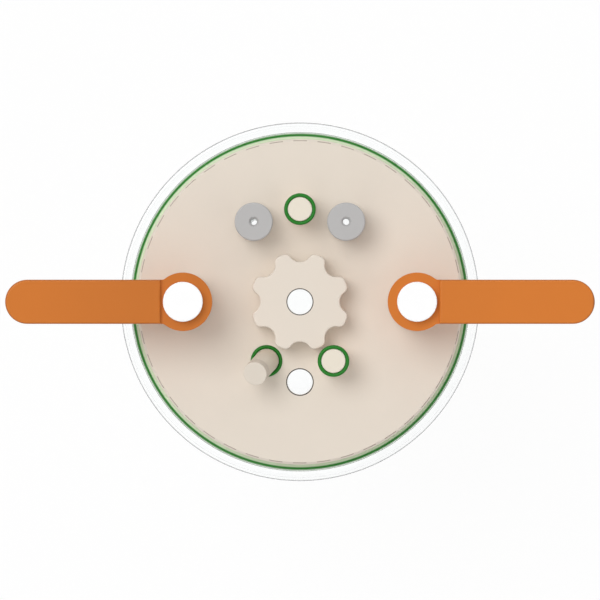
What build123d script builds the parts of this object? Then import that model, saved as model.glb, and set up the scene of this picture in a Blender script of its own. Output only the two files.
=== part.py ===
from build123d import *
import math
import os

# Laboratory electrochemical cell, 350 mL size, in millimetres.
# A glass vessel is closed by a plug lid that hangs from its rim by two arms.
# +Z is up. The origin is the centre of the vessel's foot, and +X runs along the right arm.

# Glass vessel
VESSEL_R = 45.0
VESSEL_WALL = 2.5
VESSEL_H = 105.0
FLOOR_T = 4.0
FOOT_ROUND = 3.0
WELL_ROUND = 5.0
RIM_ROUND = 0.9

# Clearances
SEAL_GAP = 0.05
GROOVE_GAP = 0.05
RUNNING_GAP = 0.05
THREAD_GAP = 0.03
SEAT_GAP = 0.02
STACK_GAP = 0.05
REST_GAP = 0.1

# Lid, a thick disc that hangs below the rim
LID_DROP = 16.0
LID_T = 15.0
LID_GAP = 1.5
LID_TOP_EDGE = 0.6
LID_FOOT_EDGE = 1.0
RIM_CORD = 2.6
RIM_SEAL_DROP = 5.0

# Hanger arms and the screws that they swing on
ARM_INSET = 11.6
ARM_REACH = 44.6
ARM_W = 11.1
ARM_T = 2.6
ARM_STEP = 1.2
ARM_STEP_AT = 5.6
ARM_EDGE = 0.5
HUB_R = 7.35
HUB_BLEND = 1.2
SHOULDER_R = 3.5
ARM_SCREW_HEAD_R = 5.0
ARM_SCREW_HEAD_H = 2.3
ARM_SCREW_EDGE = 0.25
ARM_SCREW_THREAD_R = 2.5
ARM_SCREW_THREAD_L = 9.0
ARM_SCREW_TIP_GAP = 0.8
WASHER_T = 0.8
WASHER_R = 6.8

# Clamp for the electrode rod in the middle of the lid
ROD_BORE_R = 3.17
KNOB_TIP_R = 12.55
KNOB_VALLEY_R = 10.05
KNOB_LOBES = 8
SCALLOP_R = 3.0
LOBE_ROUND = 1.5
KNOB_H = 6.4
KNOB_LIFT = 0.5
KNOB_EDGE = 0.5
BORE_EDGE = 0.15
SHANK_R = 8.0
SHANK_L = 7.2
SHANK_TIP_EDGE = 0.6
PRESSURE_RING_T = 1.6
ROD_CORD = 1.8

# Gas fittings: nut, ferrule and tube
GAS_PITCH_R = 23.25
GAS_ANGLE = 60.0
NUT_HEAD_R = 4.8
NUT_HEAD_H = 9.0
NUT_EDGE = 0.25
NUT_LIFT = 0.3
NUT_SHANK_R = 3.175
NUT_SHANK_L = 6.0
NUT_BORE_R = 0.8
NUT_SINK_R = 1.25
FERRULE_H = 2.6
FERRULE_TOP_R = 2.9
FERRULE_TIP_R = 2.2
TUBE_R = 1.6
TUBE_BORE_R = 0.8
DIP_TUBE_END_Z = 14.0
DIP_TUBE_BEND_L = 14.0
DIP_TUBE_BEND_X = 0.25
DIP_TUBE_BEND_Y = -0.25
VENT_TUBE_REACH = 4.0

# Electrode ports with a plug in each
BACK_PORT_R = 23.3
FRONT_PORT_R = 17.1
FRONT_PORT_ANGLE = 60.5
PLUG_R = 3.0
PLUG_EDGE = 0.25
PLUG_TAIL = 2.5
PLUG_TAIL_EDGE = 0.8
NECK_R = 3.98
NECK_H = 9.0
NECK_SPIGOT = 6.0
PORT_CORD = 0.95

# Bridge tube, which leans outwards above the lid
BRIDGE_R = 3.0
BRIDGE_BORE_R = 1.9
BRIDGE_LEAN = 22.5
BRIDGE_LEAN_DIRECTION = 228.0
BRIDGE_ELBOW_LIFT = 0.9
BRIDGE_ARM_L = 8.4
BRIDGE_CAP_H = 2.8
BRIDGE_SPIGOT_L = 4.0
BRIDGE_CAP_EDGE = 0.2
BRIDGE_SEAT = 0.4
BRIDGE_END_Z = 34.0
TIP_L = 16.0
TIP_SOCKET = 5.0
TIP_WALL = 0.9
TIP_MOUTH_R = 1.1
TIP_BORE_R = 0.5

# Free port for a reference electrode
FREE_PORT_PITCH_R = 20.2
FREE_PORT_R = 3.2

# Levels and radii that follow from the values above
WELL_R = VESSEL_R - VESSEL_WALL
LID_R = WELL_R - LID_GAP
LID_TOP = VESSEL_H - LID_DROP
LID_FOOT = LID_TOP - LID_T
RIM_SEAL_R = WELL_R - SEAL_GAP - RIM_CORD / 2
RIM_SEAL_Z = LID_TOP - RIM_SEAL_DROP
GROOVE_R = RIM_SEAL_R - RIM_CORD / 2 - GROOVE_GAP
GROOVE_H = RIM_CORD + 2 * GROOVE_GAP
ARM_PITCH_R = LID_R - ARM_INSET
ARM_FOOT = VESSEL_H + REST_GAP
ARM_TOP = ARM_FOOT + ARM_T
HUB_TOP = ARM_TOP - ARM_STEP
HUB_FOOT = LID_TOP + WASHER_T + REST_GAP
KNOB_FOOT = LID_TOP + KNOB_LIFT
SHANK_TIP = LID_TOP - SHANK_L
PRESSURE_RING_TOP = SHANK_TIP - STACK_GAP
PRESSURE_RING_FOOT = PRESSURE_RING_TOP - PRESSURE_RING_T
ROD_SEAL_Z = PRESSURE_RING_FOOT - STACK_GAP - ROD_CORD / 2
CLAMP_WELL_FLOOR = ROD_SEAL_Z - ROD_CORD / 2
CLAMP_WELL_R = SHANK_R + THREAD_GAP
NUT_FOOT = LID_TOP + NUT_LIFT
NUT_SHANK_TIP = LID_TOP - NUT_SHANK_L
FERRULE_TOP = NUT_SHANK_TIP - STACK_GAP
FERRULE_FOOT = FERRULE_TOP - FERRULE_H
GAS_WELL_FLOOR = FERRULE_FOOT - STACK_GAP
GAS_WELL_R = NUT_SHANK_R + THREAD_GAP
NECK_TOP = LID_TOP + NECK_H
NECK_FOOT = LID_TOP - NECK_SPIGOT
PLUG_HOLE_R = PLUG_R + RUNNING_GAP
PORT_SEAL_R = PLUG_R + RUNNING_GAP + PORT_CORD / 2
PLUG_TOP = NECK_TOP + PORT_CORD
BRIDGE_HOLE_R = BRIDGE_R + RUNNING_GAP
BRIDGE_SEAL_R = BRIDGE_R + RUNNING_GAP + PORT_CORD / 2
BRIDGE_SEAL_Z = LID_TOP - BRIDGE_SEAT + PORT_CORD / 2
BRIDGE_ELBOW_Z = LID_TOP + BRIDGE_ELBOW_LIFT


def on_circle(radius, degrees):
    """Plan position of a point on a pitch circle of the lid."""
    turn = math.radians(degrees)
    return radius * math.cos(turn), radius * math.sin(turn)


GAS_PORTS = {
    "left": on_circle(GAS_PITCH_R, 180 - GAS_ANGLE),
    "right": on_circle(GAS_PITCH_R, GAS_ANGLE),
}
PLUG_PORTS = {
    "back": on_circle(BACK_PORT_R, 90),
    "front": on_circle(FRONT_PORT_R, -FRONT_PORT_ANGLE),
}
BRIDGE_X, BRIDGE_Y = on_circle(FRONT_PORT_R, FRONT_PORT_ANGLE - 180)
FREE_PORT_X, FREE_PORT_Y = on_circle(FREE_PORT_PITCH_R, -90)
ARM_SIDES = {"left": -1, "right": 1}


# Glass vessel: a flat-bottomed cylinder with a rounded foot and a fire-polished rim
with BuildPart() as glass_vessel:
    with BuildSketch():
        Circle(VESSEL_R)
    extrude(amount=VESSEL_H)
    fillet(glass_vessel.edges().group_by(Axis.Z)[0], FOOT_ROUND)
    with BuildSketch(Plane.XY.offset(FLOOR_T)):
        Circle(WELL_R)
    extrude(amount=VESSEL_H - FLOOR_T, mode=Mode.SUBTRACT)
    fillet(glass_vessel.edges().filter_by_position(Axis.Z, FLOOR_T, FLOOR_T), WELL_ROUND)
    fillet(glass_vessel.edges().group_by(Axis.Z)[-1], RIM_ROUND)
glass_vessel.part.label = "glass_vessel"
export_step(glass_vessel.part, "parts/glass_vessel.step")


# Lid: a turned disc with a seal groove in its wall and every port drilled through it
with BuildPart() as lid:
    with BuildSketch(Plane.XY.offset(LID_FOOT)):
        Circle(LID_R)
    extrude(amount=LID_T)
    chamfer(lid.edges().group_by(Axis.Z)[-1], LID_TOP_EDGE)
    chamfer(lid.edges().group_by(Axis.Z)[0], LID_FOOT_EDGE)
    with BuildSketch(Plane.XY.offset(RIM_SEAL_Z - GROOVE_H / 2)):
        Circle(WELL_R)
        Circle(GROOVE_R, mode=Mode.SUBTRACT)
    extrude(amount=GROOVE_H, mode=Mode.SUBTRACT)
    with Locations((0, 0, LID_TOP)):
        CounterBoreHole(ROD_BORE_R, CLAMP_WELL_R, LID_TOP - CLAMP_WELL_FLOOR)
    for port_x, port_y in GAS_PORTS.values():
        with Locations((port_x, port_y, LID_TOP)):
            CounterBoreHole(TUBE_R + RUNNING_GAP, GAS_WELL_R, LID_TOP - GAS_WELL_FLOOR)
    for port_x, port_y in PLUG_PORTS.values():
        with Locations((port_x, port_y, LID_TOP)):
            CounterBoreHole(PLUG_HOLE_R, NECK_R + SEAT_GAP, NECK_SPIGOT)
    with Locations((BRIDGE_X, BRIDGE_Y, LID_TOP)):
        CounterBoreHole(BRIDGE_HOLE_R, BRIDGE_SEAL_R + PORT_CORD / 2 + SEAT_GAP, BRIDGE_SEAT)
    with Locations((FREE_PORT_X, FREE_PORT_Y, LID_TOP)):
        CounterSinkHole(FREE_PORT_R, FREE_PORT_R + BORE_EDGE)
    for side in ARM_SIDES.values():
        with Locations((side * ARM_PITCH_R, 0, LID_TOP)):
            Hole(ARM_SCREW_THREAD_R + THREAD_GAP, ARM_SCREW_THREAD_L + ARM_SCREW_TIP_GAP)
lid.part.label = "lid"
export_step(lid.part, "parts/lid.step")


# Seal ring between the lid and the glass
with BuildPart() as lid_oring:
    with Locations((0, 0, RIM_SEAL_Z)):
        Torus(RIM_SEAL_R, RIM_CORD / 2)
lid_oring.part.label = "lid_oring"
export_step(lid_oring.part, "parts/lid_oring.step")


# Arms: a flat bar with a round end, joggled down to a deep hub that turns on its screw
for side_name, side in ARM_SIDES.items():
    pivot_x = side * ARM_PITCH_R
    bar_run = ARM_REACH - ARM_W / 2
    bar_centre_x = side * (ARM_PITCH_R + bar_run / 2)
    step_x = side * (ARM_PITCH_R + ARM_STEP_AT)
    with BuildPart() as arm:
        with BuildSketch(Plane.XY.offset(ARM_FOOT)) as plate:
            with Locations((pivot_x, 0)):
                Circle(HUB_R)
            with Locations((bar_centre_x, 0)):
                SlotCenterToCenter(bar_run, ARM_W)
            fillet(plate.vertices().sort_by_distance((pivot_x, 0, 0))[:2], HUB_BLEND)
        extrude(amount=ARM_T - ARM_STEP)
        with BuildSketch(Plane.XY.offset(HUB_TOP)):
            with Locations((bar_centre_x, 0)):
                SlotCenterToCenter(bar_run, ARM_W)
            with Locations((step_x - side * HUB_R, 0)):
                Rectangle(2 * HUB_R, ARM_W, mode=Mode.SUBTRACT)
        extrude(amount=ARM_STEP)
        fillet(arm.edges().group_by(Axis.Z)[-1], ARM_EDGE)
        with BuildSketch(Plane.XY.offset(HUB_FOOT)):
            with Locations((pivot_x, 0)):
                Circle(HUB_R)
        extrude(amount=HUB_TOP - HUB_FOOT)
        with Locations((pivot_x, 0, HUB_TOP)):
            Hole(SHOULDER_R + RUNNING_GAP)
    arm.part.label = f"arm_{side_name}"
    export_step(arm.part, f"parts/arm_{side_name}.step")

    # Washer under the hub
    with BuildPart() as arm_washer:
        with BuildSketch(Plane.XY.offset(LID_TOP)):
            with Locations((pivot_x, 0)):
                Circle(WASHER_R)
                Circle(SHOULDER_R + RUNNING_GAP, mode=Mode.SUBTRACT)
        extrude(amount=WASHER_T)
    arm_washer.part.label = f"arm_washer_{side_name}"
    export_step(arm_washer.part, f"parts/arm_washer_{side_name}.step")

    # Shoulder screw: plain round head, shoulder for the hub, thread into the lid
    with BuildPart() as arm_screw:
        with BuildSketch(Plane.XY.offset(HUB_TOP + REST_GAP)):
            with Locations((pivot_x, 0)):
                Circle(ARM_SCREW_HEAD_R)
        extrude(amount=ARM_SCREW_HEAD_H)
        fillet(arm_screw.edges().group_by(Axis.Z)[-1], ARM_SCREW_EDGE)
        with BuildSketch(Plane.XY.offset(LID_TOP)):
            with Locations((pivot_x, 0)):
                Circle(SHOULDER_R)
        extrude(amount=HUB_TOP + REST_GAP - LID_TOP)
        with BuildSketch(Plane.XY.offset(LID_TOP - ARM_SCREW_THREAD_L)):
            with Locations((pivot_x, 0)):
                Circle(ARM_SCREW_THREAD_R)
        extrude(amount=ARM_SCREW_THREAD_L)
        chamfer(arm_screw.edges().group_by(Axis.Z)[0], ARM_SCREW_EDGE)
    arm_screw.part.label = f"arm_screw_{side_name}"
    export_step(arm_screw.part, f"parts/arm_screw_{side_name}.step")


# Star knob: a lobed head on a threaded shank, bored through for the electrode rod
with BuildPart() as star_knob:
    with BuildSketch(Plane.XY.offset(KNOB_FOOT)) as star:
        Circle(KNOB_TIP_R)
        with PolarLocations(KNOB_VALLEY_R + SCALLOP_R, KNOB_LOBES):
            Circle(SCALLOP_R, mode=Mode.SUBTRACT)
        fillet(star.vertices(), LOBE_ROUND)
    extrude(amount=KNOB_H)
    fillet(star_knob.edges().group_by(Axis.Z)[-1], KNOB_EDGE)
    chamfer(star_knob.edges().group_by(Axis.Z)[0], KNOB_EDGE)
    with BuildSketch(Plane.XY.offset(SHANK_TIP)):
        Circle(SHANK_R)
    extrude(amount=KNOB_FOOT - SHANK_TIP)
    chamfer(star_knob.edges().group_by(Axis.Z)[0], SHANK_TIP_EDGE)
    with Locations((0, 0, KNOB_FOOT + KNOB_H)):
        CounterSinkHole(ROD_BORE_R, ROD_BORE_R + BORE_EDGE)
star_knob.part.label = "star_knob"
export_step(star_knob.part, "parts/star_knob.step")


# Pressure ring that the knob's shank drives down on the rod seal
with BuildPart() as pressure_ring:
    with BuildSketch(Plane.XY.offset(PRESSURE_RING_FOOT)):
        Circle(SHANK_R - THREAD_GAP)
        Circle(ROD_BORE_R, mode=Mode.SUBTRACT)
    extrude(amount=PRESSURE_RING_T)
pressure_ring.part.label = "pressure_ring"
export_step(pressure_ring.part, "parts/pressure_ring.step")


# Seal ring round the electrode rod, at the bottom of the clamp well
with BuildPart() as rod_oring:
    with Locations((0, 0, ROD_SEAL_Z)):
        Torus(ROD_BORE_R + ROD_CORD / 2, ROD_CORD / 2)
rod_oring.part.label = "rod_oring"
export_step(rod_oring.part, "parts/rod_oring.step")


# Gas fittings: a round nut over a cone ferrule, which grips the tube below
for side_name, (port_x, port_y) in GAS_PORTS.items():
    with BuildPart() as gas_nut:
        with BuildSketch(Plane.XY.offset(NUT_FOOT)):
            with Locations((port_x, port_y)):
                Circle(NUT_HEAD_R)
        extrude(amount=NUT_HEAD_H)
        chamfer(gas_nut.edges(), NUT_EDGE)
        with BuildSketch(Plane.XY.offset(NUT_SHANK_TIP)):
            with Locations((port_x, port_y)):
                Circle(NUT_SHANK_R)
        extrude(amount=NUT_FOOT - NUT_SHANK_TIP)
        with Locations((port_x, port_y, NUT_FOOT + NUT_HEAD_H)):
            CounterSinkHole(NUT_BORE_R, NUT_SINK_R)
    gas_nut.part.label = f"gas_nut_{side_name}"
    export_step(gas_nut.part, f"parts/gas_nut_{side_name}.step")

    with BuildPart() as ferrule:
        with Locations((port_x, port_y, FERRULE_FOOT + FERRULE_H / 2)):
            Cone(FERRULE_TIP_R, FERRULE_TOP_R, FERRULE_H)
            Cylinder(TUBE_R + SEAT_GAP, FERRULE_H, mode=Mode.SUBTRACT)
    ferrule.part.label = f"ferrule_{side_name}"
    export_step(ferrule.part, f"parts/ferrule_{side_name}.step")


# Gas inlet tube, which dips into the cell and bends a little near its end
gas_in_x, gas_in_y = GAS_PORTS["left"]
dip_bend_z = DIP_TUBE_END_Z + DIP_TUBE_BEND_L
with BuildPart() as dip_tube:
    with BuildLine():
        drop = Line((gas_in_x, gas_in_y, FERRULE_TOP), (gas_in_x, gas_in_y, dip_bend_z))
        TangentArc(
            drop @ 1,
            (gas_in_x + DIP_TUBE_BEND_X, gas_in_y + DIP_TUBE_BEND_Y, DIP_TUBE_END_Z),
            tangent=drop % 1,
        )
    with BuildSketch(Plane(origin=drop @ 0, z_dir=drop % 0)):
        Circle(TUBE_R)
        Circle(TUBE_BORE_R, mode=Mode.SUBTRACT)
    sweep()
dip_tube.part.label = "dip_tube"
export_step(dip_tube.part, "parts/dip_tube.step")


# Gas outlet tube, a short stub under the lid
with BuildPart() as vent_tube:
    with BuildSketch(Plane.XY.offset(FERRULE_TOP)):
        with Locations(GAS_PORTS["right"]):
            Circle(TUBE_R)
            Circle(TUBE_BORE_R, mode=Mode.SUBTRACT)
    extrude(amount=LID_FOOT - VENT_TUBE_REACH - FERRULE_TOP)
vent_tube.part.label = "vent_tube"
export_step(vent_tube.part, "parts/vent_tube.step")


# Electrode ports: a raised neck with a seal ring in its mouth, closed by a plain plug
for port_name, (port_x, port_y) in PLUG_PORTS.items():
    with BuildPart() as port_neck:
        with BuildSketch(Plane.XY.offset(NECK_FOOT)):
            with Locations((port_x, port_y)):
                Circle(NECK_R)
                Circle(PLUG_HOLE_R, mode=Mode.SUBTRACT)
        extrude(amount=NECK_TOP - NECK_FOOT)
    port_neck.part.label = f"port_neck_{port_name}"
    export_step(port_neck.part, f"parts/port_neck_{port_name}.step")

    with BuildPart() as port_oring:
        with Locations((port_x, port_y, NECK_TOP + PORT_CORD / 2)):
            Torus(PORT_SEAL_R, PORT_CORD / 2)
    port_oring.part.label = f"port_oring_{port_name}"
    export_step(port_oring.part, f"parts/port_oring_{port_name}.step")

    with BuildPart() as port_plug:
        with BuildSketch(Plane.XY.offset(LID_FOOT - PLUG_TAIL)):
            with Locations((port_x, port_y)):
                Circle(PLUG_R)
        extrude(amount=PLUG_TOP - LID_FOOT + PLUG_TAIL)
        chamfer(port_plug.edges().group_by(Axis.Z)[-1], PLUG_EDGE)
        chamfer(port_plug.edges().group_by(Axis.Z)[0], PLUG_TAIL_EDGE)
    port_plug.part.label = f"port_plug_{port_name}"
    export_step(port_plug.part, f"parts/port_plug_{port_name}.step")


# Seal ring of the bridge tube, in a shallow seat in the lid
with BuildPart() as bridge_oring:
    with Locations((BRIDGE_X, BRIDGE_Y, BRIDGE_SEAL_Z)):
        Torus(BRIDGE_SEAL_R, PORT_CORD / 2)
bridge_oring.part.label = "bridge_oring"
export_step(bridge_oring.part, "parts/bridge_oring.step")


# Bridge tube: straight down through the lid, mitred at its elbow, leaning outwards above
lean = math.radians(BRIDGE_LEAN)
lean_x, lean_y = on_circle(math.sin(lean), BRIDGE_LEAN_DIRECTION)
lean_axis = Vector(lean_x, lean_y, math.cos(lean))
bridge_foot = Vector(BRIDGE_X, BRIDGE_Y, BRIDGE_END_Z)
bridge_elbow = Vector(BRIDGE_X, BRIDGE_Y, BRIDGE_ELBOW_Z)
bridge_mouth = bridge_elbow + lean_axis * BRIDGE_ARM_L
mouth_plane = Plane(origin=bridge_mouth, z_dir=lean_axis)
with BuildPart() as bridge_tube:
    with BuildLine():
        Polyline(bridge_foot, bridge_elbow, bridge_mouth)
    with BuildSketch(Plane(origin=bridge_foot, z_dir=(0, 0, 1))):
        Circle(BRIDGE_R)
        Circle(BRIDGE_BORE_R, mode=Mode.SUBTRACT)
    sweep(transition=Transition.RIGHT)
bridge_tube.part.label = "bridge_tube"
export_step(bridge_tube.part, "parts/bridge_tube.step")


# Cap of the bridge tube, with a spigot that plugs its bore
with BuildPart() as bridge_cap:
    with BuildSketch(mouth_plane.offset(STACK_GAP)):
        Circle(BRIDGE_R)
    extrude(amount=BRIDGE_CAP_H)
    chamfer(bridge_cap.edges().filter_by(GeomType.CIRCLE).sort_by(Axis.Z)[-1], BRIDGE_CAP_EDGE)
    with BuildSketch(mouth_plane.offset(-BRIDGE_SPIGOT_L)):
        Circle(BRIDGE_BORE_R - RUNNING_GAP)
    extrude(amount=BRIDGE_SPIGOT_L + STACK_GAP)
bridge_cap.part.label = "bridge_cap"
export_step(bridge_cap.part, "parts/bridge_cap.step")


# Drawn tip, slipped over the lower end of the bridge tube and narrowing to a fine mouth
tip_top = BRIDGE_END_Z + TIP_SOCKET
tip_foot = BRIDGE_END_Z - TIP_L
with BuildPart() as bridge_tip:
    with BuildSketch(Plane.XZ.offset(-BRIDGE_Y)):
        with BuildLine():
            Polyline(
                (BRIDGE_X + BRIDGE_R + SEAT_GAP, tip_top),
                (BRIDGE_X + BRIDGE_R + TIP_WALL, tip_top),
                (BRIDGE_X + BRIDGE_R + TIP_WALL, BRIDGE_END_Z - TIP_WALL),
                (BRIDGE_X + TIP_MOUTH_R, tip_foot),
                (BRIDGE_X + TIP_BORE_R, tip_foot),
                (BRIDGE_X + BRIDGE_BORE_R, BRIDGE_END_Z - STACK_GAP),
                (BRIDGE_X + BRIDGE_R + SEAT_GAP, BRIDGE_END_Z - STACK_GAP),
                close=True,
            )
        make_face()
    revolve(axis=Axis((BRIDGE_X, BRIDGE_Y, 0), (0, 0, 1)))
bridge_tip.part.label = "bridge_tip"
export_step(bridge_tip.part, "parts/bridge_tip.step")
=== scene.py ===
import math

import bpy
import numpy as np
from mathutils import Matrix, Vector


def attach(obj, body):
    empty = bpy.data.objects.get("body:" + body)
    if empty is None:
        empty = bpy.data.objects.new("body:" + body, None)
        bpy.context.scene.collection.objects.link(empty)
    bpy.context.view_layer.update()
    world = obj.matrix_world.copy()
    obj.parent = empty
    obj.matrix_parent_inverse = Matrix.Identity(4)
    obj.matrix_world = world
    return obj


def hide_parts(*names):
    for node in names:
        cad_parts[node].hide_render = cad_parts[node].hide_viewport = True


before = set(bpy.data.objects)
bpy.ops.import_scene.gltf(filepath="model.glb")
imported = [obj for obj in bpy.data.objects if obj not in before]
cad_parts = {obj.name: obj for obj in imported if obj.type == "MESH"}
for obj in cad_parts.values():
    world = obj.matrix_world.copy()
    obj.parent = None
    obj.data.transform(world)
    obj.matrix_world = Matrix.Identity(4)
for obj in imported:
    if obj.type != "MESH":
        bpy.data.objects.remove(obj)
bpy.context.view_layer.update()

# Sizes in millimetres, which skin() turns into metres. What is called an angle or a spread is in
# degrees, and what goes through math.radians is in radians.
MM = 0.001
FULL_TURN = 2 * math.pi
UP = (0, 0, 1)

LID_TOP = 89.0

VESSEL_R = 45.0
VESSEL_H = 105.0
WELL_R = 42.5
WELL_FLOOR = 4.0
WELL_CUT = 6.0
DISH_MIDDLE_Z = 0.9
DISH_R = 30.0
DISH_EDGE_Z = 0.7
DISH_CUT = 6.0
FOOT_RING_R = 37.0
FOOT_RING_CUT = 2.0
HEEL_CUT = 3.0
RIM_OUTER_CUT = 0.8
RIM_INNER_CUT = 0.15
VESSEL_STEPS = 10
VESSEL_COLUMNS = 360

RIM_SEAL_R = 41.15
RIM_SEAL_Z = 84.0
RIM_CORD = 2.6
PORT_CORD = 0.95
PORT_SEAL_R = 3.525
ROD_CORD = 1.8
RIM_COLUMNS = 420
FLASH_SHARE = 0.015
FLASH_WIDTH = 0.12
CORD_STEPS = 40

ROD_BORE_R = 3.17
FREE_PORT_R = 3.2
FREE_PORT_PITCH_R = 20.2
ROD_SEAL_Z = 79.2
KNOB_FOOT = 89.5
KNOB_TOP = 95.9
KNOB_TIP_R = 12.55
KNOB_VALLEY_R = 10.05
KNOB_EDGE = 0.5
KNOB_LOBES = 8
SCALLOP_R = 3.0
LOBE_ROUND = 1.5
SHANK_R = 8.0
SHANK_TIP = 81.8
SHANK_EDGE = 0.6
KNOB_THREAD_TOP = LID_TOP - 0.4
KNOB_PITCH = 1.5
KNOB_THREAD = 0.8
BORE_SINK = 0.15
BORE_CUT = 0.04
KNOB_COLUMNS = 320
RING_R = SHANK_R - 0.03
RING_TOP = 81.75
RING_FOOT = 80.15

GAS_PITCH_R = 23.25
GAS_ANGLE = 60
NUT_FOOT = 89.3
NUT_TOP = 98.3
NUT_R = 4.8
NUT_EDGE = 0.25
NUT_SHANK_R = 3.175
NUT_SHANK_TIP = 83.0
NUT_SHANK_EDGE = 0.4
NUT_THREAD_TOP = LID_TOP - 0.3
NUT_BORE_R = 0.8
NUT_SINK_R = 1.25
NUT_SINK_DEPTH = 0.52
NUT_PITCH = 0.907
NUT_THREAD = 0.45
NUT_COLUMNS = 144
SLIP = 0.02
FERRULE_TOP = 82.95
FERRULE_TOP_R = 2.9
FERRULE_FOOT = 80.35
FERRULE_FOOT_R = 2.2
FERRULE_COLUMNS = 96
TUBE_R = 1.6
TUBE_COLUMNS = 64
TUBE_ROW_GAP = 1.0
DIP_TUBE_END = 13.9
DIP_TUBE_BEND = 28.0
DIP_TUBE_SHIFT = 0.25
VENT_TUBE_END = 70.0

BACK_PORT_R = 23.3
FRONT_PORT_R = 17.1
FRONT_PORT_ANGLE = 60.5
BACK_PORT_ANGLE = 90
HALF_TURN_ANGLE = 180
PLUG_R = 3.0
PLUG_TOP = 98.95
PLUG_EDGE = 0.25
PLUG_TAIL = 71.5
PLUG_TAIL_EDGE = 0.8
NECK_BORE_R = 3.05
NECK_R = 3.98
NECK_TOP = 98.0
NECK_FOOT = 83.0
PORT_COLUMNS = 128

BRIDGE_R = 3.0
BRIDGE_BORE_R = 1.9
BRIDGE_LEAN = math.radians(22.5)
BRIDGE_TOWARDS = math.radians(228.0)
BRIDGE_FOOT = 34.0
BRIDGE_ELBOW = 89.9
BRIDGE_ARM = 8.4
BRIDGE_SEAL_Z = 89.075
CAP_GAP = 0.05
CAP_H = 2.8
CAP_EDGE = 0.2
SPIGOT_R = 1.85
SPIGOT_L = 4.0
TIP_R = 3.9
TIP_TOP = 39.0
TIP_SEAT = 33.95
TIP_TAPER_TOP = 33.1
TIP_END = 18.0
TIP_END_R = 1.1
TIP_MOUTH_R = 0.5
TIP_COLUMNS = 96

ARM_PITCH_R = 29.4
ARM_TOP = 107.7
ARM_W = 11.1
ARM_END = 74.0
ARM_EDGE = 0.5
SCREW_HEAD_R = 5.0
SCREW_HEAD_FOOT = 106.6
SCREW_HEAD_TOP = 108.9
SCREW_HEAD_CUT = 0.3
SCREW_SHOULDER_R = 3.5
SCREW_THREAD_R = 2.5
SCREW_TIP = 80.0
SCREW_TIP_EDGE = 0.4
SCREW_THREAD_TOP = LID_TOP - 0.3
SCREW_PITCH = 0.8
SCREW_THREAD = 0.45
SCREW_COLUMNS = 144
WASHER_R = 6.8
WASHER_T = 0.8
WASHER_BORE_R = 3.55

# How far a corner's cut reaches along its sides: nearly sharp, and lightly broken
CRISP = 0.05
SOFT = 0.12


def on_circle(radius, degrees):
    """Plan position on a pitch circle: the radius turned through the angle."""
    return radius * math.cos(math.radians(degrees)), radius * math.sin(math.radians(degrees))


GAS_LEFT = on_circle(GAS_PITCH_R, HALF_TURN_ANGLE - GAS_ANGLE)
GAS_RIGHT = on_circle(GAS_PITCH_R, GAS_ANGLE)
PORT_BACK = on_circle(BACK_PORT_R, BACK_PORT_ANGLE)
PORT_FRONT = on_circle(FRONT_PORT_R, -FRONT_PORT_ANGLE)
BRIDGE = on_circle(FRONT_PORT_R, FRONT_PORT_ANGLE - HALF_TURN_ANGLE)

# Shapes

FLATTEN = 1.1
THREAD_STEEPNESS = 1.5
THREAD_CREST = 0.25


def rounded(corners, loop=True, steps=6):
    """Profile through corners given as radius, height and cut. Each corner becomes a parabola whose
    ends lie the cut away from it, with one more point outside each end to keep the flats flat. A
    profile that isn't a loop keeps its first and last corners as they are."""
    corner = np.array(corners, float)
    point, cut = corner[:, :2], corner[:, 2:]
    to_last = np.roll(point, 1, axis=0) - point
    to_next = np.roll(point, -1, axis=0) - point
    to_last /= np.linalg.norm(to_last, axis=1, keepdims=True)
    to_next /= np.linalg.norm(to_next, axis=1, keepdims=True)
    share = np.linspace(0, 1, steps)[None, :, None]
    start, end = point + cut * to_last, point + cut * to_next
    bend = (1 - share) ** 2 * start[:, None] + share**2 * end[:, None]
    bend = bend + 2 * share * (1 - share) * point[:, None]
    before, after = point + FLATTEN * cut * to_last, point + FLATTEN * cut * to_next
    rows = np.concatenate((before[:, None], bend, after[:, None]), axis=1)
    if loop:
        return rows.reshape(-1, 2)
    return np.vstack((point[:1], rows[1:-1].reshape(-1, 2), point[-1:]))


def with_rows(profile, gap):
    """The same profile with a point at least every gap along it, for a thread to follow."""
    runs = np.linalg.norm(np.diff(profile, axis=0), axis=1)
    along = np.concatenate(([0], np.cumsum(runs)))
    stops = np.union1d(along, np.arange(0, along[-1], gap))
    return np.stack([np.interp(stops, along, profile[:, side]) for side in (0, 1)], axis=1)


def column_angles(columns):
    """Angles of the columns, evenly spread over a full turn."""
    return np.linspace(0, FULL_TURN, columns, endpoint=False)


def turned(profile, foot=(0, 0, 0), axis=UP, columns=192, reach=None):
    """Grid of points round an axis: foot, plus height along the axis, plus radius turned through the
    column's angle. reach gives the radius of every point where it isn't the profile's."""
    axis = np.array(axis, float)
    across = np.array((axis[2], 0, -axis[0])) / math.hypot(axis[0], axis[2])
    ahead = np.cross(axis, across)
    angle = column_angles(columns)[None, :, None]
    radius = profile[:, :1] if reach is None else reach
    outwards = np.cos(angle) * across + np.sin(angle) * ahead
    return np.array(foot) + radius[:, :, None] * outwards + profile[:, 1:, None] * axis


def thread_cut(height, angle, foot, top, pitch, depth):
    """Depth of a right-hand thread: a vee with flat crest and root that climbs one pitch a turn and
    fades out over half a pitch at both ends."""
    phase = (height / pitch - angle / FULL_TURN) % 1
    groove = np.clip(THREAD_STEEPNESS * (1 - np.abs(2 * phase - 1)) - THREAD_CREST, 0, 1)
    fade = np.clip(2 * (height - foot) / pitch, 0, 1) * np.clip(2 * (top - height) / pitch, 0, 1)
    return depth * groove * fade


def threaded(profile, radius, foot, top, pitch, depth, columns):
    """Radius of every point of a profile whose stretch at that radius, foot to top, is threaded."""
    height, angle = profile[:, 1:], column_angles(columns)[None, :]
    on_thread = np.abs(profile[:, :1] - radius) < CRISP
    return profile[:, :1] - on_thread * thread_cut(height, angle, foot, top, pitch, depth)


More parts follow.
